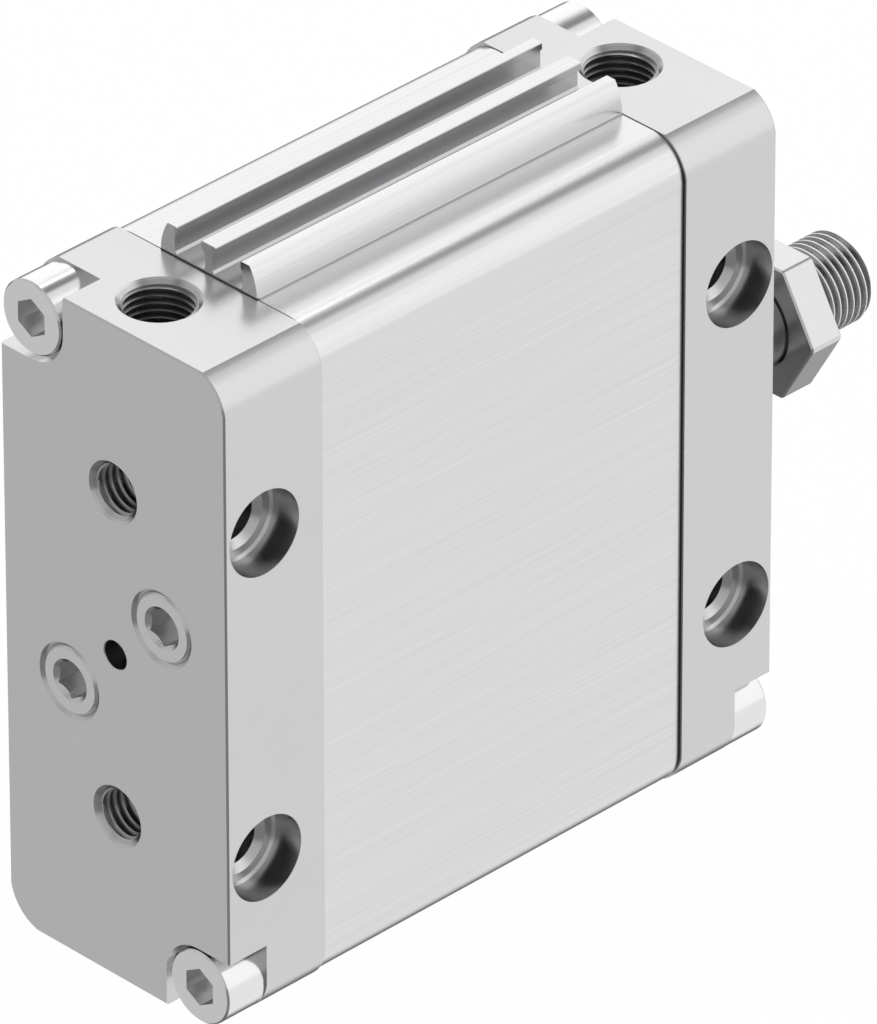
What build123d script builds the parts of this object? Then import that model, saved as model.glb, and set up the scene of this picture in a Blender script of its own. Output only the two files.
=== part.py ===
from build123d import *
import os

# Flat pneumatic cylinder with an oblong piston, 50 mm stroke, shown with its rod retracted.
# The origin is the centre of the rear face, on the piston axis. X runs towards the rod end,
# Y across the flat body, and Z up, towards the supply ports. All sizes are in millimetres.

# Body envelope. The caps are milled a little past their rounded corners, most of all on top,
# so each corner starts with a sharp line there and ends in a faint one on the side.
body_thickness = 50.0
body_height = 121.0
cap_corner_radius = 8.1
cap_top_milling = 0.63
cap_bottom_milling = 0.2
cap_side_milling = 0.11
edge_break = 0.3
rear_cap_length = 21.0
front_cap_length = 20.3

# Barrel extrusion: it stands a little inside the caps, and its bore is oblong.
# Its length is that of the stroke, the piston and the cushion pads together.
barrel_side_inset = 0.6
barrel_top_inset = 0.15
barrel_corner_radius = 7.0
bore_width = 36.0
bore_height = 94.3
stroke = 50.0

# Sensor slots between three ribs on the top of the barrel, on a bed that stands a little proud
slot_width = 6.7
slot_web = 1.6
slot_bed_height = 0.65
slot_root_chamfer = 0.4
middle_lip = 0.8
side_lip = 0.4
lip_height = 1.3
lip_edge_break = 0.2
rib_height = 5.6
rib_base_width = 3.5
rib_top_width = 2.0
rib_bulge = 0.4
rib_foot_chamfer = 0.3
rib_root_depth = 3.0

# Corner screws, two on a diagonal in each cap, sunk in open corner notches
screw_diameter = 8.0
screw_length = 30.0
screw_hole_play = 1.0
screw_head_diameter = 13.0
screw_head_length = 8.0
screw_head_edge = 0.3
screw_tip_chamfer = 1.0
screw_socket_size = 6.0
screw_socket_depth = 4.0
screw_from_side = 6.9
screw_from_top = 6.8
screw_head_sink = 0.2
notch_play = 0.8

# Cross holes for mounting on the flat side, counterbored from both sides
mount_hole_spacing = 60.0
rear_mount_hole_x = 8.4
front_mount_hole_x = 8.2
mount_hole_diameter = 8.5
counterbore_diameter = 15.0
counterbore_depth = 6.15
counterbore_chamfer = 0.45
countersink_width = 1.35
countersink_depth = 1.0

# Threaded mounting holes in both end faces, at the thread's outer diameter
face_thread_diameter = 10.0
face_thread_depth = 16.0
face_thread_chamfer = 0.4
locating_hole_diameter = 5.0
locating_hole_depth = 10.0
locating_hole_chamfer = 0.15

# Supply ports in the top face, at the thread's outer diameter, and their air ducts
rear_port_x = 10.4
front_port_x = 10.0
port_thread_diameter = 13.157
port_thread_depth = 12.0
port_chamfer = 0.3
port_duct_diameter = 8.0
port_duct_depth = 22.5
chamber_duct_diameter = 6.0
chamber_duct_height = 42.0

# Plugs that close the two spare air ducts of the rear cap
plug_thread_diameter = 12.0
plug_length = 8.0
plug_sink = 0.1
plug_chamfer = 0.4
plug_seat_chamfer = 0.75
plug_socket_size = 6.0
plug_socket_depth = 4.0
plug_socket_chamfer = 0.35
plug_duct_diameter = 8.0
plug_y = 10.5
plug_z = 9.6

# Gaskets between the caps and the barrel, in grooves around the bore
gasket_inset = 1.0
gasket_width = 2.2
gasket_thickness = 1.6

# Piston: two halves clamped on the rod, with a magnet between them
piston_play = 0.3
pad_thickness = 2.0
pad_inset = 2.0
pad_end_gap = 0.2
seal_width = 3.6
seal_depth = 4.0
seal_from_end = 2.4
seal_lip_chamfer = 0.8
seal_play = 0.1
piston_land = 1.6
guide_strip_width = 4.0
guide_strip_thickness = 1.5
guide_strip_play = 0.05
guide_strip_from_middle = 1.2
magnet_width = 4.0
magnet_thickness = 3.0
magnet_cover = 0.3

# Rod, its bearing and its seal
rod_diameter = 20.0
rod_running_play = 0.03
rod_stand_out = 9.3
rod_flats_size = 17.0
rod_flats_length = 7.0
rod_spigot_diameter = 12.0
rod_spigot_play = 0.05
rod_thread_diameter = 16.0
rod_thread_length = 31.9
rod_thread_chamfer = 1.2
rod_undercut_depth = 1.3
rod_undercut_length = 2.0
rod_oring_section = 2.0
rod_oring_play = 0.05
rod_oring_corner = 0.5
rod_oring_from_shoulder = 4.0
bush_wall = 2.0
bush_seal_gap = 0.9
rod_seal_wall = 4.0
rod_seal_length = 5.0
rod_seal_play = 0.05
rod_seal_lip_chamfer = 1.2
retaining_ring_thickness = 1.2
retaining_ring_bite = 0.8
retaining_ring_height = 3.0
retaining_ring_gap = 6.0

# Nuts: the lock nut on the rod's thread and the nut that clamps the piston. Where the lock
# nut's thread engages the rod's, both are plain and meet at the thread's pitch line.
rod_nut_size = 24.0
rod_nut_thickness = 6.8
rod_nut_stand_off = 20.6
rod_nut_corner_radius = 1.2
rod_nut_edge_break = 0.3
rod_nut_countersink = 0.9
nut_thread_inset = 0.49
nut_thread_margin = 0.3
piston_nut_size = 18.0
piston_nut_thickness = 6.0
piston_nut_recess_play = 1.0
piston_nut_sink = 0.5

# Sizes and places worked out from the sizes above
piston_half_length = (seal_from_end + seal_width + piston_land + guide_strip_width
                      + guide_strip_from_middle)
piston_length = 2 * piston_half_length
barrel_length = stroke + piston_length + 2 * (pad_thickness + pad_end_gap)
barrel_start = rear_cap_length
barrel_end = rear_cap_length + barrel_length
front_face_x = barrel_end + front_cap_length
half_thickness = body_thickness / 2
half_height = body_height / 2
barrel_half_height = half_height - barrel_top_inset
screw_y = half_thickness - screw_from_side
screw_z = half_height - screw_from_top
notch_depth = screw_head_length + screw_head_sink
notch_radius = screw_head_diameter / 2 + notch_play
piston_start = barrel_start + pad_end_gap + pad_thickness
piston_middle = piston_start + piston_half_length
piston_end = piston_start + piston_length
nut_recess_radius = piston_nut_size / 3 ** 0.5 + piston_nut_recess_play
nut_thread_radius = rod_thread_diameter / 2 - nut_thread_inset
rod_thread_start = front_face_x + rod_stand_out
rod_nut_start = front_face_x + rod_nut_stand_off
rod_seal_start = front_face_x - rod_seal_length - 2 * retaining_ring_thickness
bush_length = rod_seal_start - bush_seal_gap - barrel_end
seal_pocket_radius = rod_diameter / 2 + rod_seal_wall


def along_x(profile, start, length):
    """Extrude a profile, drawn in Y and Z, from one X position by a length along X."""
    return extrude(Plane.YZ.offset(start) * profile, amount=length)


def turned(*section):
    """Revolve a closed half section of (radius, height) points about the Z axis."""
    return revolve(Plane.XZ * make_face(Polyline(*section, close=True)), Axis.Z)


def rear_entry(y, z):
    """Place a tool at the rear face, pointing into the body."""
    return Plane(origin=(0, y, z), x_dir=(0, 1, 0), z_dir=(1, 0, 0))


def front_entry(y, z):
    """Place a tool at the front face, pointing into the body."""
    return Plane(origin=(front_face_x, y, z), x_dir=(0, 1, 0), z_dir=(-1, 0, 0))


def oblong(offset):
    """Give the outline of the bore, moved outwards by an offset."""
    return SlotOverall(bore_height + 2 * offset, bore_width + 2 * offset, rotation=90)


def oblong_ring(outer_offset, thickness):
    """Give a ring that follows the bore, with its outside at an offset from the bore."""
    return oblong(outer_offset) - oblong(outer_offset - thickness)


def chamfered_hole(radius, depth, rim_chamfer):
    """Make the tool of a flat-ended hole with a chamfered rim."""
    rim = radius + rim_chamfer
    return turned((0, 0), (rim, 0), (radius, rim_chamfer), (radius, depth), (0, depth))


def hexagon(size, rotation):
    """Give a hexagon by its width across flats."""
    return RegularPolygon(size / 2, 6, major_radius=False, rotation=rotation)


def cap_outline():
    """Draw a cap's outline: a blank with rounded corners, milled off all round."""
    blank_height = body_height + cap_top_milling + cap_bottom_milling
    blank = RectangleRounded(body_thickness + 2 * cap_side_milling, blank_height, cap_corner_radius)
    rise = (cap_top_milling - cap_bottom_milling) / 2
    return Pos(0, rise) * blank & Rectangle(body_thickness, body_height)


def cap_block(joint, outer_end):
    """Make a cap's block, sharp at its joint with the barrel and with its outer edges broken."""
    shoulder = outer_end - edge_break if outer_end > joint else outer_end + edge_break
    block = along_x(cap_outline(), joint, shoulder - joint)
    rim = Plane.YZ.offset(shoulder) * cap_outline()
    return block + extrude(rim, amount=outer_end - shoulder, taper=45)


def corner_notch(side, start):
    """Make the tool that opens a cap's corner around a screw head, on both outer sides."""
    reach_y = screw_from_side + notch_radius
    reach_z = screw_from_top + notch_radius
    square = Pos(side * (half_thickness - reach_y / 2), side * (half_height - reach_z / 2))
    outline = square * Rectangle(reach_y, reach_z)
    inner = outline.vertices().sort_by_distance((0, 0, 0))[0]
    return along_x(fillet(inner, notch_radius), start, notch_depth)


def screw_tools(cap_start, cap_length, notch_start):
    """Make the notches and clearance holes of a cap's two corner screws."""
    hole_radius = (screw_diameter + screw_hole_play) / 2
    tools = []
    for side in (1, -1):
        hole = Pos(side * screw_y, side * screw_z) * Circle(hole_radius)
        tools.append(along_x(hole, cap_start, cap_length))
        tools.append(corner_notch(side, notch_start))
    return tools


def cross_hole_tools(x):
    """Make the two counterbored cross holes of a cap, at one X position."""
    hole_radius = mount_hole_diameter / 2
    bore_radius = counterbore_diameter / 2
    rim = hole_radius + countersink_width
    seat = turned(
        (0, 0), (bore_radius, 0), (bore_radius, counterbore_depth - counterbore_chamfer),
        (bore_radius - counterbore_chamfer, counterbore_depth), (rim, counterbore_depth),
        (hole_radius, counterbore_depth + countersink_depth),
        (hole_radius, half_thickness), (0, half_thickness))
    tools = []
    for z in (mount_hole_spacing / 2, -mount_hole_spacing / 2):
        for side in (-1, 1):
            entry = Plane(origin=(x, side * half_thickness, z), z_dir=(0, -side, 0))
            tools.append(entry * seat)
    return tools


def port_tools(x, chamber_face):
    """Make a supply port in the top face, with its ducts down and on to the chamber."""
    thread = chamfered_hole(port_thread_diameter / 2, port_thread_depth, port_chamfer)
    duct = Cylinder(port_duct_diameter / 2, port_duct_depth,
                    align=(Align.CENTER, Align.CENTER, Align.MIN))
    entry = Plane(origin=(x, 0, half_height), z_dir=(0, 0, -1))
    passage = along_x(Pos(0, chamber_duct_height) * Circle(chamber_duct_diameter / 2),
                      min(x, chamber_face), abs(chamber_face - x))
    return [entry * thread, entry * duct, passage]


def face_thread_tools(entry):
    """Make the two threaded mounting holes of an end face."""
    hole = chamfered_hole(face_thread_diameter / 2, face_thread_depth, face_thread_chamfer)
    return [entry(0, z) * hole for z in (mount_hole_spacing / 2, -mount_hole_spacing / 2)]


def gasket_groove(start):
    """Make the tool of the gasket's groove in a cap's inner face."""
    return along_x(oblong_ring(gasket_inset + gasket_width, gasket_width), start, gasket_thickness)


def plug_places():
    """List the places of the two blanking plugs, on one diagonal of the rear face."""
    return [(-plug_y, plug_z), (plug_y, -plug_z)]


def make_rear_cap():
    """The closed end cap, with the mounting threads, locating hole and plugged air ducts."""
    cap = cap_block(barrel_start, 0)
    tools = screw_tools(0, rear_cap_length, 0)
    tools += cross_hole_tools(rear_mount_hole_x)
    tools += port_tools(rear_port_x, rear_cap_length)
    tools += face_thread_tools(rear_entry)
    tools.append(gasket_groove(rear_cap_length - gasket_thickness))
    tools.append(rear_entry(0, 0) * chamfered_hole(
        locating_hole_diameter / 2, locating_hole_depth, locating_hole_chamfer))
    seat = chamfered_hole(plug_thread_diameter / 2, plug_length + plug_sink, plug_seat_chamfer)
    duct = Cylinder(plug_duct_diameter / 2, rear_cap_length,
                    align=(Align.CENTER, Align.CENTER, Align.MIN))
    for y, z in plug_places():
        tools.append(rear_entry(y, z) * seat)
        tools.append(rear_entry(y, z) * duct)
    return cap - tools


def make_front_cap():
    """The rod end's cap, bored for the bearing bush, the rod seal and its retaining ring."""
    cap = cap_block(barrel_end, front_face_x)
    tools = screw_tools(barrel_end, front_cap_length, front_face_x - notch_depth)
    tools += cross_hole_tools(front_face_x - front_mount_hole_x)
    tools += port_tools(front_face_x - front_port_x, barrel_end)
    tools += face_thread_tools(front_entry)
    tools.append(gasket_groove(barrel_end))
    bush_radius = rod_diameter / 2 + bush_wall
    ring_start = rod_seal_start + rod_seal_length
    tools.append(along_x(Circle(bush_radius), barrel_end, front_cap_length))
    tools.append(along_x(Circle(seal_pocket_radius), rod_seal_start, front_cap_length))
    tools.append(along_x(Circle(seal_pocket_radius + retaining_ring_bite), ring_start,
                         retaining_ring_thickness))
    tools.append(front_entry(0, 0) * turned(
        (0, 0), (seal_pocket_radius + edge_break, 0), (seal_pocket_radius, edge_break),
        (0, edge_break)))
    return cap - tools


def side_rib(side):
    """Draw an outer rib: a lip over the slot, a straight web inside and a bulging outside."""
    web_y = slot_web / 2 + slot_width
    lip_y = web_y - side_lip
    foot_y = web_y - slot_root_chamfer
    outer_y = web_y + rib_base_width
    top_y = lip_y + rib_top_width
    arc_end = (outer_y - rib_foot_chamfer, rib_foot_chamfer)
    arc_middle = ((arc_end[0] + top_y) / 2 + rib_bulge, (arc_end[1] + rib_height) / 2)
    inside = Polyline(
        arc_end, (outer_y, 0), (outer_y, -rib_root_depth), (foot_y, -rib_root_depth),
        (foot_y, slot_bed_height), (web_y, slot_bed_height + slot_root_chamfer),
        (web_y, rib_height - lip_height - side_lip), (lip_y, rib_height - lip_height),
        (lip_y, rib_height - lip_edge_break), (lip_y + lip_edge_break, rib_height),
        (top_y, rib_height))
    outside = ThreePointArc((top_y, rib_height), arc_middle, arc_end)
    rib = make_face(inside + outside)
    return rib if side > 0 else mirror(rib, about=Plane.YZ)


def middle_rib():
    """Draw the middle rib: a web with a lip over the slot on either side."""
    web_y = slot_web / 2
    lip_y = web_y + middle_lip
    foot_y = web_y + slot_root_chamfer
    half = [(foot_y, -rib_root_depth), (foot_y, slot_bed_height),
            (web_y, slot_bed_height + slot_root_chamfer),
            (web_y, rib_height - lip_height - middle_lip), (lip_y, rib_height - lip_height),
            (lip_y, rib_height - lip_edge_break), (lip_y - lip_edge_break, rib_height)]
    other_half = [(-y, z) for y, z in reversed(half)]
    return make_face(Polyline(*half, *other_half, close=True))


def slot_bed():
    """Draw the raised bed under both slots, from one outer rib's web to the other's."""
    width = 2 * (slot_web / 2 + slot_width)
    height = slot_bed_height + rib_root_depth
    return Pos(0, slot_bed_height - height / 2) * Rectangle(width, height)


def make_barrel():
    """The extruded barrel, with its oblong bore, sensor slots and tapped screw channels."""
    outline = RectangleRounded(
        body_thickness - 2 * barrel_side_inset, 2 * barrel_half_height, barrel_corner_radius)
    ribs = slot_bed() + side_rib(1) + middle_rib() + side_rib(-1)
    profile = outline + Pos(0, barrel_half_height) * ribs - oblong(0)
    for side in (1, -1):
        profile -= Pos(side * screw_y, side * screw_z) * Circle(screw_diameter / 2)
    return along_x(profile, barrel_start, barrel_length)


def cap_screw():
    """A socket head cap screw, its head's face at Z = 0 and its shank along Z."""
    head_radius = screw_head_diameter / 2
    shank_radius = screw_diameter / 2
    end = screw_head_length + screw_length
    screw = turned(
        (0, 0), (head_radius - screw_head_edge, 0), (head_radius, screw_head_edge),
        (head_radius, screw_head_length), (shank_radius, screw_head_length),
        (shank_radius, end - screw_tip_chamfer), (shank_radius - screw_tip_chamfer, end),
        (0, end))
    socket = extrude(hexagon(screw_socket_size, 30), amount=screw_socket_depth)
    return screw - socket


def make_cap_screws(entry):
    """The two corner screws of one cap."""
    screws = []
    for side in (1, -1):
        place = entry(side * screw_y, side * screw_z) * Pos(0, 0, screw_head_sink)
        screws.append(place * cap_screw())
    return Compound(children=screws)


def make_blanking_plugs():
    """The two threaded plugs with hexagon sockets that close the rear cap's air ducts."""
    radius = plug_thread_diameter / 2
    socket_mouth = plug_socket_size / 3 ** 0.5 + plug_socket_chamfer
    plug = turned(
        (0, 0), (radius - plug_chamfer, 0), (radius, plug_chamfer), (radius, plug_length),
        (0, plug_length))
    plug -= extrude(hexagon(plug_socket_size, 30), amount=plug_socket_depth)
    plug -= turned((0, 0), (socket_mouth, 0), (0, socket_mouth))
    return Compound(children=[
        rear_entry(y, z) * Pos(0, 0, plug_sink) * plug for y, z in plug_places()])


def make_gasket(start):
    """A flat oblong gasket in a cap's groove."""
    return along_x(oblong_ring(gasket_inset + gasket_width, gasket_width), start, gasket_thickness)


def piston_core():
    """Make the plain piston with the grooves of both seals."""
    core = along_x(oblong(-piston_play), piston_start, piston_length)
    for start in (piston_start + seal_from_end, piston_end - seal_from_end - seal_width):
        core -= along_x(oblong_ring(0, seal_depth + piston_play), start, seal_width)
    return core


def magnet_groove():
    """Make the tool of the magnet's seat, in the rear half, against the parting plane."""
    depth = piston_play + magnet_cover + magnet_thickness
    return along_x(oblong_ring(0, depth), piston_middle - magnet_width, magnet_width)


def guide_groove():
    """Make the tool of the guide strip's groove, in the front half."""
    depth = guide_strip_play + guide_strip_thickness
    start = piston_middle + guide_strip_from_middle
    return along_x(oblong_ring(0, depth), start, guide_strip_width)


def make_piston_rear_half():
    """The rear half of the piston, recessed for the clamping nut."""
    spigot_radius = rod_spigot_diameter / 2 + rod_spigot_play
    half = split(piston_core(), bisect_by=Plane.YZ.offset(piston_middle), keep=Keep.BOTTOM)
    half -= magnet_groove()
    half -= along_x(Circle(spigot_radius), piston_start, piston_length)
    half -= along_x(Circle(nut_recess_radius), piston_start,
                    piston_nut_thickness + piston_nut_sink)
    return half


def make_piston_front_half():
    """The front half of the piston, which seats on the rod's shoulder."""
    spigot_radius = rod_spigot_diameter / 2 + rod_spigot_play
    half = split(piston_core(), bisect_by=Plane.YZ.offset(piston_middle), keep=Keep.TOP)
    half -= guide_groove()
    half -= along_x(Circle(spigot_radius), piston_start, piston_length)
    return half


def make_piston_seal(start, lip_side):
    """A lip seal in its piston groove, chamfered on the side that faces the pressure."""
    outer = along_x(oblong(-seal_play), start, seal_width)
    face = outer.faces().sort_by(Axis.X)[-1 if lip_side > 0 else 0]
    lip = chamfer(face.edges(), seal_lip_chamfer)
    return lip - along_x(oblong(-seal_depth - piston_play), start, seal_width)


def make_guide_strip():
    """The oblong guide strip that keeps the piston off the bore."""
    start = piston_middle + guide_strip_from_middle
    return along_x(oblong_ring(-guide_strip_play, guide_strip_thickness), start, guide_strip_width)


def make_magnet():
    """The oblong magnet that switches the sensors in the slots."""
    ring = oblong_ring(-piston_play - magnet_cover, magnet_thickness)
    return along_x(ring, piston_middle - magnet_width, magnet_width)


def make_pad(start, hole_radius):
    """A cushioning pad on one face of the piston."""
    return along_x(oblong(-piston_play - pad_inset) - Circle(hole_radius), start, pad_thickness)


def rod_profile_end():
    """Make the rod's thread, at its outer diameter, with its undercut and end chamfer."""
    radius = rod_thread_diameter / 2
    tip = radius - rod_thread_chamfer
    neck = radius - rod_undercut_depth
    neck_end = rod_undercut_length
    length = rod_thread_length
    return turned(
        (0, 0), (neck, 0), (neck, neck_end), (radius, neck_end + rod_undercut_depth),
        (radius, length - rod_thread_chamfer), (tip, length), (0, length))


def make_piston_rod():
    """The rod: a threaded spigot through the piston, a round shaft, flats and the end thread."""
    spigot_radius = rod_spigot_diameter / 2
    spigot_start = piston_start + piston_nut_sink
    groove_start = piston_end - rod_oring_from_shoulder - rod_oring_section
    groove_depth = rod_oring_section
    rod = along_x(Circle(spigot_radius), spigot_start, piston_end - spigot_start)
    rod += along_x(Circle(rod_diameter / 2), piston_end, rod_thread_start - piston_end)
    rod += rear_entry(0, 0) * Pos(0, 0, rod_thread_start) * rod_profile_end()
    rod -= along_x(Circle(spigot_radius) - Circle(spigot_radius - groove_depth), groove_start,
                   rod_oring_section)
    crests = Circle(rod_thread_diameter / 2) - Circle(nut_thread_radius)
    rod -= along_x(crests, rod_nut_start - nut_thread_margin,
                   rod_nut_thickness + 2 * nut_thread_margin)
    flats = Circle(rod_diameter) - Rectangle(2 * rod_diameter, rod_flats_size)
    rod -= along_x(flats, rod_thread_start - rod_flats_length, rod_flats_length)
    return rod


def make_rod_oring():
    """The O-ring between the rod's spigot and the piston, squeezed flat in its groove."""
    outer = rod_spigot_diameter / 2 - rod_oring_play
    width = rod_oring_section - 2 * rod_oring_play
    inner = outer - width
    corner = rod_oring_corner
    start = piston_end - rod_oring_from_shoulder - rod_oring_section + rod_oring_play
    return rear_entry(0, 0) * Pos(0, 0, start) * turned(
        (inner + corner, 0), (outer - corner, 0), (outer, corner), (outer, width - corner),
        (outer - corner, width), (inner + corner, width), (inner, width - corner),
        (inner, corner))


def make_bearing_bush():
    """The plain sliding bush that guides the rod, pressed into the front cap."""
    inner = rod_diameter / 2 + rod_running_play
    return along_x(Circle(rod_diameter / 2 + bush_wall) - Circle(inner), barrel_end, bush_length)


def make_rod_seal():
    """The combined rod seal and wiper, with its wiping lip towards the outside."""
    inner = rod_diameter / 2 + rod_seal_play
    lip = rod_seal_lip_chamfer
    return rear_entry(0, 0) * Pos(0, 0, rod_seal_start) * turned(
        (inner, 0), (seal_pocket_radius, 0), (seal_pocket_radius, rod_seal_length),
        (inner + lip, rod_seal_length), (inner + lip / 2, rod_seal_length - lip),
        (inner, rod_seal_length - lip / 2))


def make_retaining_ring():
    """The open spring ring that holds the rod seal in its pocket."""
    outer = seal_pocket_radius + retaining_ring_bite
    ring = Circle(outer) - Circle(outer - retaining_ring_height)
    gap = Pos(0, -outer) * Rectangle(retaining_ring_gap, outer)
    return along_x(ring - gap, rod_seal_start + rod_seal_length, retaining_ring_thickness)


def make_rod_nut():
    """The thin hexagon lock nut on the rod's thread, with a corner towards each flat side."""
    outline = hexagon(rod_nut_size, 0)
    outline = fillet(outline.vertices(), rod_nut_corner_radius)
    nut = along_x(outline, rod_nut_start, rod_nut_thickness)
    ends = nut.faces().sort_by(Axis.X)
    nut = chamfer(ends[0].edges() + ends[-1].edges(), rod_nut_edge_break)
    bore = nut_thread_radius
    mouth = bore + rod_nut_countersink
    return nut - rear_entry(0, 0) * Pos(0, 0, rod_nut_start) * turned(
        (0, 0), (mouth, 0), (bore, rod_nut_countersink),
        (bore, rod_nut_thickness - rod_nut_countersink), (mouth, rod_nut_thickness),
        (0, rod_nut_thickness))


def make_piston_nut():
    """The nut that clamps both piston halves against the rod's shoulder."""
    start = piston_start + piston_nut_sink
    return along_x(hexagon(piston_nut_size, 0) - Circle(rod_spigot_diameter / 2), start,
                   piston_nut_thickness)


parts = {
    "rear_cap": make_rear_cap(),
    "front_cap": make_front_cap(),
    "barrel": make_barrel(),
    "rear_cap_screws": make_cap_screws(rear_entry),
    "front_cap_screws": make_cap_screws(front_entry),
    "blanking_plugs": make_blanking_plugs(),
    "rear_cap_gasket": make_gasket(rear_cap_length - gasket_thickness),
    "front_cap_gasket": make_gasket(barrel_end),
    "piston_rod": make_piston_rod(),
    "rod_nut": make_rod_nut(),
    "piston_rear_half": make_piston_rear_half(),
    "piston_front_half": make_piston_front_half(),
    "piston_nut": make_piston_nut(),
    "piston_seal_rear": make_piston_seal(piston_start + seal_from_end, -1),
    "piston_seal_front": make_piston_seal(piston_end - seal_from_end - seal_width, 1),
    "piston_guide_strip": make_guide_strip(),
    "piston_magnet": make_magnet(),
    "piston_rod_oring": make_rod_oring(),
    "rear_cushion_pad": make_pad(piston_start - pad_thickness, nut_recess_radius),
    "front_cushion_pad": make_pad(piston_end, rod_diameter / 2 + pad_end_gap),
    "bearing_bush": make_bearing_bush(),
    "rod_seal": make_rod_seal(),
    "retaining_ring": make_retaining_ring(),
}

os.makedirs("parts", exist_ok=True)
for name, part in parts.items():
    export_step(part, f"parts/{name}.step")
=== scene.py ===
import bpy
import math
from mathutils import Matrix, Vector


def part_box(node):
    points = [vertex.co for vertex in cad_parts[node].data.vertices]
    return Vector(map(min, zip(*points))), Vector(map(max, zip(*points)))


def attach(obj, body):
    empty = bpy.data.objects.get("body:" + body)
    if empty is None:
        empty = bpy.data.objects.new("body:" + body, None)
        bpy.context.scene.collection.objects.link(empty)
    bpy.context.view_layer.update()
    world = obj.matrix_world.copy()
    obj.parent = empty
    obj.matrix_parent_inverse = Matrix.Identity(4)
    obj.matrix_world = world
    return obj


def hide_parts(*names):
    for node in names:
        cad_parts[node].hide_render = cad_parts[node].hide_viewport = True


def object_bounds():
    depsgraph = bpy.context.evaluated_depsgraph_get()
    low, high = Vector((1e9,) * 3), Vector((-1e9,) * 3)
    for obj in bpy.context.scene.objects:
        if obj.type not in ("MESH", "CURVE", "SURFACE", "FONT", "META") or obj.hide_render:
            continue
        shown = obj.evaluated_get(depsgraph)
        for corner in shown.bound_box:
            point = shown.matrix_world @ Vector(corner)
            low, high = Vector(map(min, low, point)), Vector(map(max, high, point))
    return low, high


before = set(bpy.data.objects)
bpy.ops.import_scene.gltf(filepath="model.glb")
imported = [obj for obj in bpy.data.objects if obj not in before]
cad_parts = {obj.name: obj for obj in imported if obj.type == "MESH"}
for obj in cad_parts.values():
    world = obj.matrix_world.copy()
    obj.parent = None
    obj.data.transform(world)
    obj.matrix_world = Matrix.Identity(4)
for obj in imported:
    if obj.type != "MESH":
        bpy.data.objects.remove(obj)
cad_low, cad_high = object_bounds()
mm = 0.001

# The photographer's set: a long lens, white walls, a paper floor and one broad lamp overhead.
# Nothing here is part of the object.
scene = bpy.context.scene
scene.view_settings.view_transform = "Standard"
floor_height = cad_low.z - 0.1 * mm
full_white = (1, 1, 1, 1)


def linear(hex_colour):
    """Turn an sRGB hex colour into the linear RGBA that a shader socket holds."""
    parts = [int(hex_colour[i:i + 2], 16) / 255 for i in (1, 3, 5)]
    return [c / 12.92 if c <= 0.04045 else ((c + 0.055) / 1.055) ** 2.4 for c in parts] + [1.0]


def add_node(tree, kind, settings=None, **links):
    """Add a node: settings are its properties, and each link gives a named socket a value or a socket.

    A link called i0, i1 and so on means the input of that number.
    """
    node = tree.nodes.new("ShaderNode" + kind)
    for name, value in (settings or {}).items():
        setattr(node, name, value)
    for name, value in links.items():
        key = int(name[1:]) if name[0] == "i" and name[1:].isdigit() else name.replace("_", " ")
        if isinstance(value, bpy.types.NodeSocket):
            tree.links.new(value, node.inputs[key])
        else:
            node.inputs[key].default_value = value
    return node


def calc(tree, operation, *values):
    """Add a Math node on sockets and numbers, and return its result."""
    inputs = {f"i{number}": value for number, value in enumerate(values)}
    return add_node(tree, "Math", {"operation": operation}, **inputs).outputs[0]


def remap(tree, value, start, end, low, high, ease="LINEAR"):
    """Add a Map Range node that turns start..end into low..high, and return its result."""
    return add_node(tree, "MapRange", {"interpolation_type": ease}, Value=value, From_Min=start,
                    From_Max=end, To_Min=low, To_Max=high).outputs[0]


def blend(tree, factor, first, second, mode="MIX"):
    """Add a colour Mix node: colours and factor may be sockets or values. Return its result."""
    mix = add_node(tree, "Mix", {"data_type": "RGBA", "blend_type": mode})
    for key, value in (("Factor", factor), (6, first), (7, second)):
        if isinstance(value, bpy.types.NodeSocket):
            tree.links.new(value, mix.inputs[key])
        else:
            mix.inputs[key].default_value = value
    return mix.outputs[2]


# The long lens looks down 32 degrees at the rear left edge of the body.
azimuth = math.radians(-44.6914)
elevation = math.radians(32.1716)
roll = math.radians(-0.0486)
distance = 2.55658
shift_right = 7.761 * mm
shift_up = 0.222 * mm
aim = Vector((0.060, 0.0, -0.00045))
back = Vector((math.sin(azimuth) * math.cos(elevation), -math.cos(azimuth) * math.cos(elevation),
               math.sin(elevation)))
level_right = Vector((math.cos(azimuth), math.sin(azimuth), 0))
level_up = back.cross(level_right)
right = level_right * math.cos(roll) + level_up * math.sin(roll)
up = back.cross(right)
lens = bpy.data.cameras.new("long_lens")
lens.lens = 568.61
lens.sensor_width = 36
lens.clip_start = 0.1
lens.clip_end = 50
camera = bpy.data.objects.new("camera", lens)
turned = Matrix((right, up, back)).transposed().to_4x4()
place = aim + right * shift_right + up * shift_up + back * distance
camera.matrix_world = Matrix.Translation(place) @ turned
scene.collection.objects.link(camera)
scene.camera = camera

# The white walls: the camera sees them as plain white. The metal sees a studio with a bright band
# on the rod side, a dimmer one on the other, a dark ceiling with one light panel, a light card low
# on either flank, two dim ones beside the camera and dark gaps between them.
world = bpy.data.worlds.new("white_studio")
scene.world = world
world.use_nodes = True
tree = world.node_tree
tree.nodes.clear()
direction = add_node(tree, "TexCoord").outputs["Generated"]


def card(way, inner, outer, brightness):
    """A soft-edged white card in one direction: full within the inner cosine, gone at the outer one."""
    facing = add_node(tree, "VectorMath", {"operation": "DOT_PRODUCT"}, i0=direction,
                      i1=Vector(way).normalized())
    return remap(tree, facing.outputs["Value"], outer, inner, 0.0, brightness, "SMOOTHSTEP")


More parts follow.
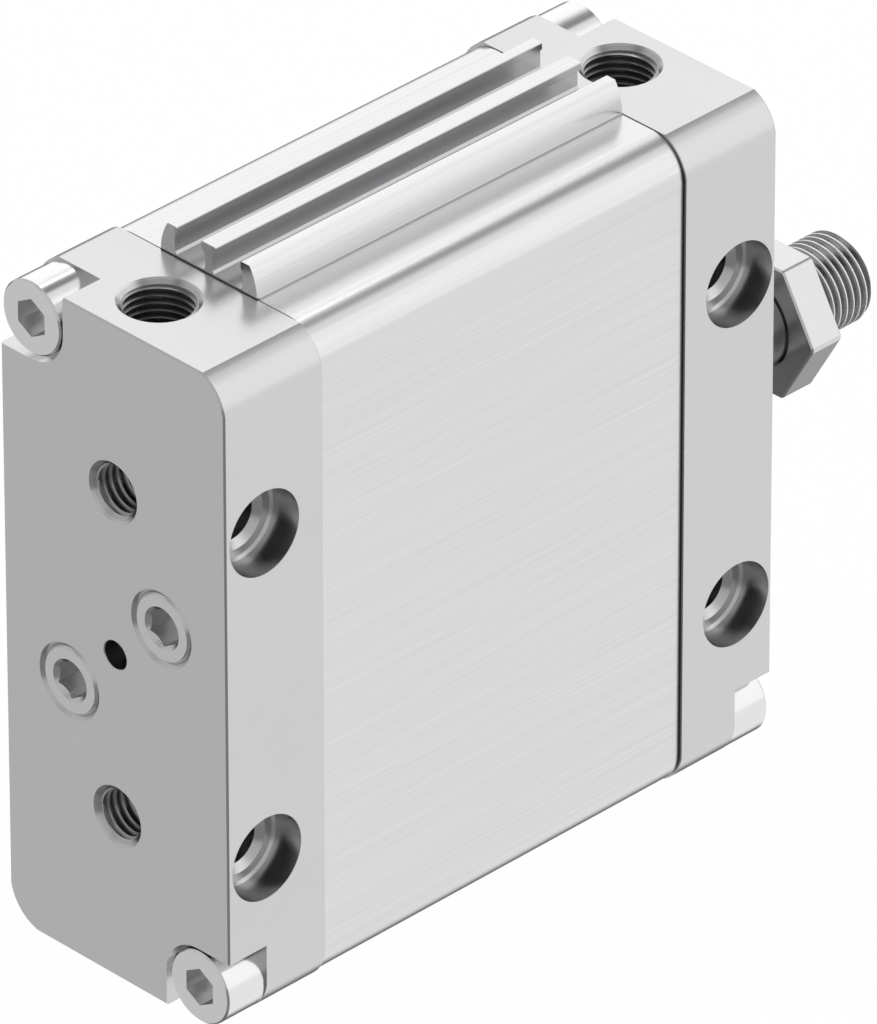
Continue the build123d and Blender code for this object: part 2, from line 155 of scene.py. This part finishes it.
axes = add_node(tree, "SeparateXYZ", i0=direction).outputs
under_ceiling = remap(tree, axes["Z"], 0.81, 0.66, 0.0, 1.0, "SMOOTHSTEP")
above_floor = remap(tree, axes["Z"], -0.25, 0.0, 0.0, 1.0, "SMOOTHSTEP")
rod_side = remap(tree, axes["X"], -0.1, 0.45, 0.62, 1.23, "SMOOTHSTEP")
near_side = remap(tree, axes["Y"], -0.75, -0.3, 0.95, 1.0, "SMOOTHSTEP")
light = under_ceiling
for share in (above_floor, rod_side, near_side):
    light = calc(tree, "MULTIPLY", light, share)
# Direction, inner and outer cosine, and brightness of each card. In turn: the one that lights the
# near side, the one that lights the rear face, one low and one high beside the camera, and the
# ceiling's panel.
cards = (((0.595, -0.602, -0.5325), 0.86, 0.55, 0.975),
         ((-0.595, 0.602, -0.5325), 0.86, 0.55, 0.655),
         ((-0.58, -0.57, -0.53), 0.93, 0.78, 0.26),
         ((-0.38, -0.37, 0.83), 0.94, 0.75, 0.5),
         ((0.595, -0.33, 0.73), 0.99, 0.955, 0.9))
for way, inner, outer, brightness in cards:
    light = calc(tree, "MAXIMUM", light, card(way, inner, outer, brightness))
darkest = 0.17
light = calc(tree, "MAXIMUM", light, darkest)
path = add_node(tree, "LightPath")
studio = add_node(tree, "Background", Color=full_white, Strength=light)
white = add_node(tree, "Background", Color=full_white, Strength=1.0)
seen = add_node(tree, "MixShader", i0=path.outputs["Is Camera Ray"], i1=studio.outputs[0],
                i2=white.outputs[0])
add_node(tree, "OutputWorld", Surface=seen.outputs[0])

# The floor keeps the object's shadow. Reflections look through it to the cards.
bpy.ops.object.select_all(action="DESELECT")
bpy.ops.mesh.primitive_plane_add(size=3.0, location=(0.06, 0, floor_height))
floor = bpy.context.object
floor.name = "studio_floor"
paper = bpy.data.materials.new("white_paper_sweep")
paper.use_nodes = True
tree = paper.node_tree
tree.nodes.clear()
matt = add_node(tree, "BsdfDiffuse", Color=linear("#F4F4F4"))
glow = add_node(tree, "Emission", Color=full_white, Strength=1.0)
path = add_node(tree, "LightPath")
glow_share = 0.985
lifted = calc(tree, "MULTIPLY", path.outputs["Is Camera Ray"], glow_share)
both = add_node(tree, "MixShader", i0=lifted, i1=matt.outputs[0], i2=glow.outputs[0])
clear = add_node(tree, "BsdfTransparent")
passed = add_node(tree, "MixShader", i0=path.outputs["Is Glossy Ray"], i1=both.outputs[0],
                  i2=clear.outputs[0])
add_node(tree, "OutputMaterial", Surface=passed.outputs[0])
floor.data.materials.append(paper)

lamp = bpy.data.lights.new("ceiling_lamp", "AREA")
lamp.shape = "SQUARE"
lamp.size = 0.8
lamp.energy = 6.0
holder = bpy.data.objects.new("ceiling_lamp", lamp)
holder.location = (0.35, 0.35, 1.3)
holder.rotation_mode = "QUATERNION"
holder.rotation_quaternion = (holder.location - aim).to_track_quat("Z", "Y")
scene.collection.objects.link(holder)


def finish_on(material_name):
    """Start a material and return it with its tree, its shader and the object-space position."""
    material = bpy.data.materials.new(material_name)
    material.use_nodes = True
    tree = material.node_tree
    tree.nodes.clear()
    shader = add_node(tree, "BsdfPrincipled")
    add_node(tree, "OutputMaterial", Surface=shader.outputs[0])
    place = add_node(tree, "TexCoord").outputs["Object"]
    return material, tree, shader, place


def dress(node_name, material):
    """Give a CAD node its finish."""
    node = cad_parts[node_name]
    for slot in node.material_slots:
        slot.material = material
    if not node.material_slots:
        node.data.materials.append(material)


def rough_up(tree, shader, height, strength, depth=0.02 * mm):
    """Give a shader a bump from a height socket: a share of a real depth."""
    bump = add_node(tree, "Bump", Strength=strength, Distance=depth, Height=height)
    tree.links.new(bump.outputs[0], shader.inputs["Normal"])


def satin_anodised(material_name, hex_colour, roughness, grain):
    """Blasted and anodised aluminium: a 0.15 mm grain, and faint 17 mm patches in the oxide layer."""
    material, tree, shader, place = finish_on(material_name)
    patches = add_node(tree, "TexNoise", Vector=place, Scale=60.0, Detail=3.0, Roughness=0.6).outputs[0]
    tint = blend(tree, 0.05, linear(hex_colour), patches, "MULTIPLY")
    tree.links.new(tint, shader.inputs["Base Color"])
    grains = add_node(tree, "TexNoise", Vector=place, Scale=6500.0, Detail=2.0, Roughness=0.7)
    rough_up(tree, shader, grains.outputs["Fac"], grain)
    unevenness = 0.02
    gloss = remap(tree, patches, 0.0, 1.0, roughness - unevenness, roughness + unevenness)
    tree.links.new(gloss, shader.inputs["Roughness"])
    shader.inputs["Metallic"].default_value = 1.0
    return material


# Both end caps: blocks of aluminium, machined on all faces, bead-blasted and clear anodised. That
# leaves an even, cool satin grey with a very fine grain and soft reflections.
cap_metal = satin_anodised("blasted_clear_anodised_aluminium", "#D3D3D4", 0.24, 0.2)
dress("rear_cap", cap_metal)
dress("front_cap", cap_metal)
front_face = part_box("front_cap")[1].x
top_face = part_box("rear_cap")[1].z
smooth_angle = math.radians(30)


def choose(piece):
    """Make a piece the only selected one, and the active one."""
    bpy.ops.object.select_all(action="DESELECT")
    bpy.context.view_layer.objects.active = piece
    piece.select_set(True)


def pick(piece, test):
    """Open a piece in edit mode, with the vertices selected whose place passes a test."""
    choose(piece)
    bpy.ops.object.mode_set(mode="EDIT")
    bpy.ops.mesh.select_mode(type="VERT")
    bpy.ops.mesh.select_all(action="DESELECT")
    bpy.ops.object.mode_set(mode="OBJECT")
    for vertex in piece.data.vertices:
        vertex.select = test(vertex.co)
    bpy.ops.object.mode_set(mode="EDIT")


def everywhere(place):
    """Pass every place."""
    return True


def settle(piece):
    """Put a piece's turn, size and place into its mesh."""
    choose(piece)
    bpy.ops.object.transform_apply(location=True, rotation=True, scale=True)


def thread_tooth(name, pitch, foot_width, foot_radius, crest_radius, length, steps):
    """Sweep a thread's tooth up the Z axis from Z = 0, with sloping flanks and both ends cut flat.

    The foot is the tooth's wide side and lies outside, the crest is the narrow one.
    """
    crest_to_foot = 0.14
    middle = (foot_radius + crest_radius) / 2
    bpy.ops.object.select_all(action="DESELECT")
    bpy.ops.mesh.primitive_plane_add(size=1, location=(middle, 0, 0), rotation=(math.pi / 2, 0, 0))
    tooth = bpy.context.object
    tooth.name = name
    tooth.scale = (abs(foot_radius - crest_radius), foot_width, 1)
    settle(tooth)
    pick(tooth, lambda place: abs(place.x - crest_radius) < 1e-6)
    bpy.ops.transform.resize(value=(1, 1, crest_to_foot), center_override=(crest_radius, 0, 0))
    bpy.ops.object.mode_set(mode="OBJECT")
    sweep = tooth.modifiers.new("helix", "SCREW")
    sweep.axis = "Z"
    sweep.angle = 2 * math.pi
    sweep.screw_offset = pitch
    sweep.iterations = math.ceil(length / pitch) + 2
    sweep.steps = steps
    sweep.render_steps = steps
    sweep.use_merge_vertices = False
    bpy.ops.object.modifier_apply(modifier="helix")
    tooth.location = (0, 0, -pitch)
    settle(tooth)
    pick(tooth, everywhere)
    bpy.ops.mesh.remove_doubles(threshold=1e-7)
    bpy.ops.mesh.select_all(action="DESELECT")
    bpy.ops.mesh.select_non_manifold()
    bpy.ops.mesh.fill_holes(sides=4)
    for height, upper in ((0.0, False), (length, True)):
        bpy.ops.mesh.select_all(action="SELECT")
        bpy.ops.mesh.bisect(plane_co=(0, 0, height), plane_no=(0, 0, 1), clear_inner=not upper,
                            clear_outer=upper)
        bpy.ops.mesh.select_all(action="DESELECT")
        bpy.ops.mesh.select_non_manifold()
        bpy.ops.mesh.fill(use_beauty=False)
    bpy.ops.mesh.select_all(action="SELECT")
    bpy.ops.mesh.normals_make_consistent(inside=False)
    bpy.ops.object.mode_set(mode="OBJECT")
    bpy.ops.object.shade_smooth_by_angle(angle=smooth_angle)
    return tooth


def place_along(piece, point, direction):
    """Turn a piece's Z axis to a direction, move its origin to a point and keep that in its mesh."""
    piece.rotation_mode = "QUATERNION"
    piece.rotation_quaternion = Vector(direction).to_track_quat("Z", "Y")
    piece.location = point
    settle(piece)


def countersink(name, radius, reach, point, direction):
    """Make the countersunk mouth of a tapped hole: a ring with a 45 degree cone on its outer side."""
    bpy.ops.object.select_all(action="DESELECT")
    bpy.ops.mesh.primitive_torus_add(major_radius=radius, minor_radius=reach, major_segments=96,
                                     minor_segments=4)
    ring = bpy.context.object
    ring.name = name
    bpy.ops.object.shade_smooth_by_angle(angle=smooth_angle)
    place_along(ring, point, direction)
    return ring


def fit(piece, metal):
    """Give a thread its metal and fix it in the cylinder's body."""
    piece.data.materials.append(metal)
    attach(piece, "cylinder_body")


# Threads tapped in the caps: two 1/4 inch pipe threads for the air supply in the top, and four
# 10 mm threads in the end faces. They are cut after anodising, so their flanks are bare metal.
tapped_metal = satin_anodised("bare_tapped_aluminium", "#A8A8AA", 0.28, 0.2)
sunk_metal = satin_anodised("bare_countersunk_aluminium", "#C6C6C8", 0.24, 0.1)
root_overlap = 0.03 * mm
port_places = (("rear_port", 10.4 * mm), ("front_port", front_face - 10.0 * mm))
port_ring_radius = 6.6 * mm
port_ring_reach = 0.56 * mm
port_ring_depth = 0.84 * mm
port_pitch = 1.337 * mm
port_radius = 6.58 * mm
port_tooth_width = 1.18 * mm
port_tooth_depth = 0.82 * mm
port_thread_length = 11.0 * mm
port_thread_end = 11.8 * mm
for name, x in port_places:
    cone = countersink(f"{name}_countersink", port_ring_radius, port_ring_reach,
                       (x, 0, top_face - port_ring_depth), (0, 0, 1))
    fit(cone, sunk_metal)
    tooth = thread_tooth(f"{name}_thread", port_pitch, port_tooth_width, port_radius + root_overlap,
                         port_radius - port_tooth_depth, port_thread_length, steps=64)
    place_along(tooth, (x, 0, top_face - port_thread_end), (0, 0, 1))
    fit(tooth, tapped_metal)
face_ring_radius = 5.02 * mm
face_ring_reach = 0.62 * mm
face_ring_depth = 1.0 * mm
face_pitch = 1.5 * mm
face_radius = 5.0 * mm
face_tooth_width = 1.32 * mm
face_tooth_depth = 0.81 * mm
face_thread_length = 14.8 * mm
face_thread_start = 0.9 * mm
face_hole_height = 30 * mm
for end, x, way in (("rear", 0.0, 1), ("front", front_face, -1)):
    for level, z in (("upper", face_hole_height), ("lower", -face_hole_height)):
        cone = countersink(f"{end}_face_countersink_{level}", face_ring_radius, face_ring_reach,
                           (x + way * face_ring_depth, 0, z), (way, 0, 0))
        fit(cone, sunk_metal)
        tooth = thread_tooth(f"{end}_face_thread_{level}", face_pitch, face_tooth_width,
                             face_radius + root_overlap, face_radius - face_tooth_depth,
                             face_thread_length, steps=56)
        place_along(tooth, (x + way * face_thread_start, 0, z), (way, 0, 0))
        fit(tooth, tapped_metal)

# The barrel: an aluminium extrusion, brushed along its length before it is clear anodised. The
# brush leaves fine straight lines from cap to cap, and the slots keep the duller drawn surface. The
# last 0.3 mm or so at each cap joint is painted dark as the shade in the joint, more at the rear
# joint and less on top. The outer ribs' feet, 10.9 mm from the middle, are painted dark as the
# shade in the crease there.
barrel_metal, tree, shader, place = finish_on("brushed_clear_anodised_aluminium")
# The streaks are about 60 mm long and 0.5 mm wide, with finer ones between them. Bands of about
# 2 mm vary the gloss.
along = add_node(tree, "Mapping", Vector=place, Scale=(0.5, 60.0, 60.0))
fine = add_node(tree, "TexNoise", Vector=along.outputs[0], Scale=32.0, Detail=3.0, Roughness=0.75)
broad = add_node(tree, "TexNoise", Vector=along.outputs[0], Scale=9.0, Detail=2.0, Roughness=0.5)
shade = add_node(tree, "ValToRGB", i0=fine.outputs["Fac"])
shade.color_ramp.elements[0].position = 0.32
shade.color_ramp.elements[0].color = linear("#D9D9DA")
shade.color_ramp.elements[1].position = 0.68
shade.color_ramp.elements[1].color = linear("#E0E0E1")
spot = add_node(tree, "SeparateXYZ", i0=place).outputs
off_centre = calc(tree, "ABSOLUTE", spot["Y"])
slots_reach = 7.6 * mm
rib_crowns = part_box("barrel")[1].z - 0.1 * mm
in_slot = calc(tree, "MULTIPLY", calc(tree, "LESS_THAN", off_centre, slots_reach),
               calc(tree, "LESS_THAN", spot["Z"], rib_crowns))
metal = blend(tree, in_slot, shade.outputs["Color"], linear("#C4C4C5"))
half_length = (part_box("barrel")[1].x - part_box("barrel")[0].x) / 2
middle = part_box("barrel")[0].x + half_length
# Painted shade: the barrel's colour is made dark over the last few tenths of a millimetre at each cap
# joint, as the shade in the joint.
seam_side_height = top_face - 6 * mm
seam_side_width = 0.41 * mm
seam_top_height = top_face - 1 * mm
seam_top_width = 0.26 * mm
seam_shift = 0.14 * mm
from_middle = calc(tree, "ABSOLUTE", calc(tree, "SUBTRACT", spot["X"], middle + seam_shift))
seam_from = remap(tree, spot["Z"], seam_side_height, seam_top_height, half_length - seam_side_width,
                  half_length - seam_top_width)
painted_joint_shade = calc(tree, "GREATER_THAN", from_middle, seam_from)
# Painted shade: a 0.28 mm band at the outer ribs' feet, low down, is made dark as the shade in the
# crease there.
rib_foot = 10.88 * mm
rib_foot_reach = 0.14 * mm
rib_foot_shade_share = 0.65
dark_below = top_face + 0.25 * mm
painted_rib_foot_shade = calc(tree, "MULTIPLY", calc(tree, "COMPARE", off_centre, rib_foot, rib_foot_reach), rib_foot_shade_share)
low_down = calc(tree, "LESS_THAN", spot["Z"], dark_below)
painted_shade = calc(tree, "MULTIPLY", calc(tree, "MAXIMUM", painted_joint_shade, painted_rib_foot_shade), low_down)
# The painted shade at the joints and at the rib feet darkens the colour to #4E4E50.
tree.links.new(blend(tree, painted_shade, metal, linear("#4E4E50")), shader.inputs["Base Color"])
tree.links.new(remap(tree, broad.outputs["Fac"], 0.0, 1.0, 0.20, 0.28), shader.inputs["Roughness"])
rough_up(tree, shader, fine.outputs["Fac"], 0.06)
shader.inputs["Metallic"].default_value = 1.0
dress("barrel", barrel_metal)


def plated(material_name, hex_colour, roughness, waviness):
    """A plated or machined metal: 3 mm clouds make its surface and its gloss a little uneven."""
    material, tree, shader, place = finish_on(material_name)
    cloud = add_node(tree, "TexNoise", Vector=place, Scale=300.0, Detail=3.0, Roughness=0.6).outputs[0]
    unevenness = 0.04
    gloss = remap(tree, cloud, 0.0, 1.0, roughness - unevenness, roughness + unevenness)
    tree.links.new(gloss, shader.inputs["Roughness"])
    rough_up(tree, shader, cloud, waviness)
    shader.inputs["Base Color"].default_value = linear(hex_colour)
    shader.inputs["Metallic"].default_value = 1.0
    return material


# Corner screws: M8 socket head cap screws of steel, bright zinc plated, two in each cap.
screw_metal = plated("bright_zinc_plated_steel", "#E6E6E6", 0.18, 0.1)
dress("rear_cap_screws", screw_metal)
dress("front_cap_screws", screw_metal)

# Blanking plugs: turned from steel bar and zinc plated, screwed flush into the rear cap. The lathe
# leaves rings 0.3 mm apart on their faces, round each plug's own middle.
plug_metal, tree, shader, place = finish_on("turned_zinc_plated_steel")
plug_low, plug_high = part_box("blanking_plugs")
plug_radius = 6 * mm
ring_spacing = 0.3 * mm
across_axis = (0.0, 1.0, 1.0)
flat = add_node(tree, "VectorMath", {"operation": "MULTIPLY"}, i0=place, i1=across_axis).outputs[0]
to_middle = []
for y, z in ((plug_low.y + plug_radius, plug_high.z - plug_radius),
             (plug_high.y - plug_radius, plug_low.z + plug_radius)):
    reach = add_node(tree, "VectorMath", {"operation": "DISTANCE"}, i0=flat, i1=(0, y, z))
    to_middle.append(reach.outputs["Value"])
turns = calc(tree, "MULTIPLY", calc(tree, "MINIMUM", *to_middle), 2 * math.pi / ring_spacing)
rough_up(tree, shader, calc(tree, "SINE", turns), 0.25)
shader.inputs["Base Color"].default_value = linear("#D8D8D8")
shader.inputs["Metallic"].default_value = 1.0
shader.inputs["Roughness"].default_value = 0.24
dress("blanking_plugs", plug_metal)

# The rod: a ground and polished shaft of dull grey steel with a rolled thread from the lock nut to
# its end. The thread's crests, which lie 8 mm from the axis, are painted near white as a highlight.
rod_metal, tree, shader, place = finish_on("ground_and_rolled_steel")
crest_radius = 8.0 * mm
crest_depth = 0.08 * mm
across = add_node(tree, "VectorMath", {"operation": "MULTIPLY"}, i0=place, i1=across_axis).outputs[0]
from_axis = add_node(tree, "VectorMath", {"operation": "LENGTH"}, i0=across).outputs["Value"]
along_axis = add_node(tree, "SeparateXYZ", i0=place).outputs["X"]
# Painted highlight: the band at the thread's crests, past the nut, is painted near white.
crest = calc(tree, "MULTIPLY", calc(tree, "COMPARE", from_axis, crest_radius, crest_depth),
             calc(tree, "GREATER_THAN", along_axis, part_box("rod_nut")[0].x))
steel = blend(tree, crest, linear("#98989A"), linear("#F2F2F2"))
tree.links.new(steel, shader.inputs["Base Color"])
tree.links.new(remap(tree, crest, 0.0, 1.0, 0.24, 0.5), shader.inputs["Roughness"])
shader.inputs["Metallic"].default_value = 1.0
rod = bpy.data.objects.new("threaded_piston_rod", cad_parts["piston_rod"].data.copy())
scene.collection.objects.link(rod)
pick(rod, everywhere)
bpy.ops.mesh.remove_doubles(threshold=1e-6)
bpy.ops.object.mode_set(mode="OBJECT")
rod_pitch = 1.5 * mm
groove_width = 1.38 * mm
groove_mouth = 8.06 * mm
groove_root = 7.08 * mm
inside_nut = 0.5 * mm
past_tip = 1.2 * mm
thread_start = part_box("rod_nut")[0].x + inside_nut
thread_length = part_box("piston_rod")[1].x + past_tip - thread_start
groove = thread_tooth("thread_groove", rod_pitch, groove_width, groove_mouth, groove_root, thread_length,
                      steps=64)
place_along(groove, (thread_start, 0, 0), (1, 0, 0))
cut = rod.modifiers.new("rolled_thread", "BOOLEAN")
cut.operation = "DIFFERENCE"
cut.solver = "EXACT"
cut.object = groove
choose(rod)
bpy.ops.object.modifier_apply(modifier="rolled_thread")
bpy.data.objects.remove(groove)
# The cut leaves the old normals wrong on its long faces, so they are made anew.
bpy.ops.mesh.customdata_custom_splitnormals_clear()
bpy.ops.object.shade_smooth_by_angle(angle=math.radians(20))
rod.data.materials.clear()
rod.data.materials.append(rod_metal)
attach(rod, "piston_and_rod")
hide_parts("piston_rod")

# The lock nut: cold formed steel, bright zinc plated, tight on the rod's thread.
nut_metal = plated("cold_formed_zinc_plated_steel", "#D6D6D6", 0.2, 0.1)
dress("rod_nut", nut_metal)

# Everything inside: machined piston halves, their nut, seals, guide strip, magnet and pads.
piston_metal = plated("machined_aluminium", "#D2D2D4", 0.3, 0.1)
for name in ("piston_rear_half", "piston_front_half"):
    dress(name, piston_metal)
dress("piston_nut", nut_metal)
dress("retaining_ring", plated("phosphated_spring_steel", "#4A4A4C", 0.45, 0.2))
dress("bearing_bush", plated("sintered_bronze", "#B08A55", 0.35, 0.2))


def moulded(material_name, hex_colour, roughness):
    """A moulded or cast elastomer or plastic: dull, with a moulded grain of about 0.5 mm."""
    material, tree, shader, place = finish_on(material_name)
    grain = add_node(tree, "TexNoise", Vector=place, Scale=1800.0, Detail=3.0, Roughness=0.6)
    rough_up(tree, shader, grain.outputs["Fac"], 0.2, 0.03 * mm)
    shader.inputs["Base Color"].default_value = linear(hex_colour)
    shader.inputs["Roughness"].default_value = roughness
    shader.inputs["IOR"].default_value = 1.52
    return material


rubber = moulded("moulded_nitrile_rubber", "#1E1E1F", 0.55)
for name in ("rear_cap_gasket", "front_cap_gasket", "rod_seal", "piston_seal_rear", "piston_seal_front",
             "piston_rod_oring"):
    dress(name, rubber)
cushion = moulded("cast_polyurethane", "#2B2B2C", 0.5)
dress("rear_cushion_pad", cushion)
dress("front_cushion_pad", cushion)
dress("piston_guide_strip", moulded("filled_slide_plastic", "#3A3A3C", 0.45))
dress("piston_magnet", moulded("rubber_bonded_magnet", "#2C2927", 0.6))
